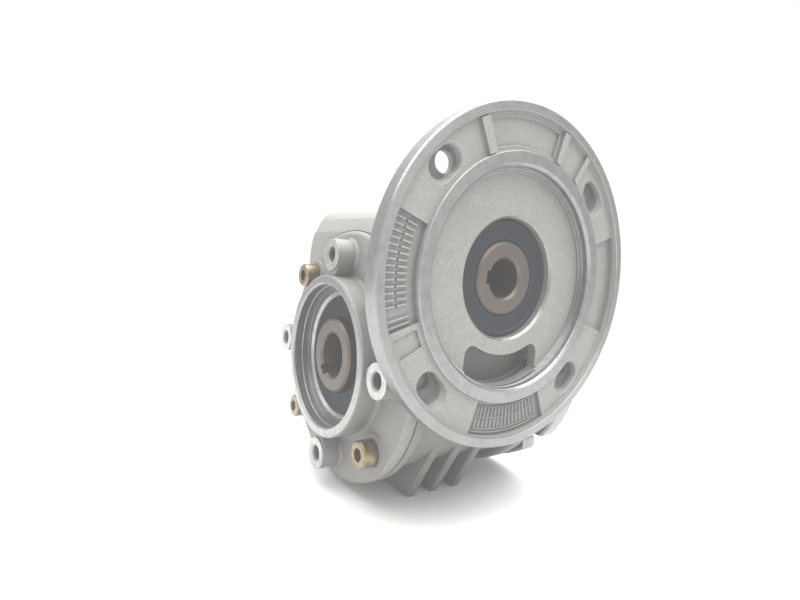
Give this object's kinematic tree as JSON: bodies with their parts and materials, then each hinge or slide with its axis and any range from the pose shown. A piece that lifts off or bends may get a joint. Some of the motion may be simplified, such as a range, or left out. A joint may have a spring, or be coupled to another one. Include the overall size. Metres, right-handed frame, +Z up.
{
  "type": "worm gear reducer",
  "caption": "Right-angle worm gear reducer with a round motor flange, a hollow keyed output shaft, a finned cast case with a bolted side cover, and a slotted output flange.",
  "frame": {"origin": "middle of the output bore", "axes": "+Y along the output axis away from the side cover, +X along the worm axis towards the motor, +Z up from the output axis to the worm"},
  "size_m": [0.1885, 0.2, 0.255],
  "materials": {
    "cast_aluminium": "blasted casting",
    "yellow_zinc": "yellow zinc",
    "zinc_steel": "bright zinc",
    "shaft_steel": "oiled steel",
    "bearing_steel": "polished",
    "cage_steel": "pressed sheet",
    "spring_steel": "phosphated",
    "bronze": "turned",
    "copper_washer": "annealed",
    "seal_rubber": "moulded",
    "gasket": "fibre sheet"
  },
  "bodies": {
    "case": {"gearbox_housing": "cast_aluminium", "side_cover": "cast_aluminium", "side_cover_gasket": "gasket", "side_cover_screws": "yellow_zinc", "motor_flange": "cast_aluminium", "motor_flange_o_ring": "seal_rubber", "motor_flange_screws": "zinc_steel", "output_flange": "cast_aluminium", "output_flange_screws": "zinc_steel", "input_oil_seal": "seal_rubber", "output_oil_seal_near": "seal_rubber", "output_oil_seal_far": "seal_rubber", "worm_rear_shim": "spring_steel", "case_circlip": "spring_steel", "worm_end_cap": "seal_rubber", "oil_plug_washers": "copper_washer", "oil_fill_plug": "zinc_steel", "oil_level_plug": "zinc_steel", "oil_drain_plug": "zinc_steel", "output_bearing_near_outer_ring": "bearing_steel", "output_bearing_far_outer_ring": "bearing_steel", "worm_bearing_front_outer_ring": "bearing_steel", "worm_bearing_rear_outer_ring": "bearing_steel"},
    "output": {"output_shaft": "shaft_steel", "worm_wheel_rim": "bronze", "rim_lock_screws": "spring_steel", "output_bearing_near_inner_ring": "bearing_steel", "output_bearing_far_inner_ring": "bearing_steel"},
    "worm": {"worm_shaft": "shaft_steel", "worm_bearing_front_inner_ring": "bearing_steel", "worm_bearing_rear_inner_ring": "bearing_steel", "worm_rear_spacer": "spring_steel", "worm_shaft_circlip": "spring_steel"},
    "output_balls": {"output_bearing_near_balls": "bearing_steel", "output_bearing_near_cage": "cage_steel", "output_bearing_far_balls": "bearing_steel", "output_bearing_far_cage": "cage_steel"},
    "worm_front_balls": {"worm_bearing_front_balls": "bearing_steel", "worm_bearing_front_cage": "cage_steel"},
    "worm_rear_balls": {"worm_bearing_rear_balls": "bearing_steel", "worm_bearing_rear_cage": "cage_steel"}
  },
  "joints": [
    {"name": "output_spin", "type": "hinge", "parent": "case", "child": "output", "pos_m": [0, 0, 0], "axis": [0, 1, 0], "continuous": true},
    {"name": "worm_spin", "type": "hinge", "parent": "case", "child": "worm", "pos_m": [0, 0, 0.063], "axis": [1, 0, 0], "continuous": true},
    {"name": "output_balls_roll", "type": "hinge", "parent": "case", "child": "output_balls", "pos_m": [0, 0, 0], "axis": [0, 1, 0], "continuous": true},
    {"name": "worm_front_balls_roll", "type": "hinge", "parent": "case", "child": "worm_front_balls", "pos_m": [0.065, 0, 0.063], "axis": [1, 0, 0], "continuous": true},
    {"name": "worm_rear_balls_roll", "type": "hinge", "parent": "case", "child": "worm_rear_balls", "pos_m": [-0.054, 0, 0.063], "axis": [1, 0, 0], "continuous": true}
  ],
  "couplings": [
    {"joint": "worm_spin", "follows": "output_spin", "ratio": -30},
    {"joint": "output_balls_roll", "follows": "output_spin", "ratio": 0.43077},
    {"joint": "worm_front_balls_roll", "follows": "output_spin", "ratio": -12.75},
    {"joint": "worm_rear_balls_roll", "follows": "output_spin", "ratio": -11.87}
  ]
}
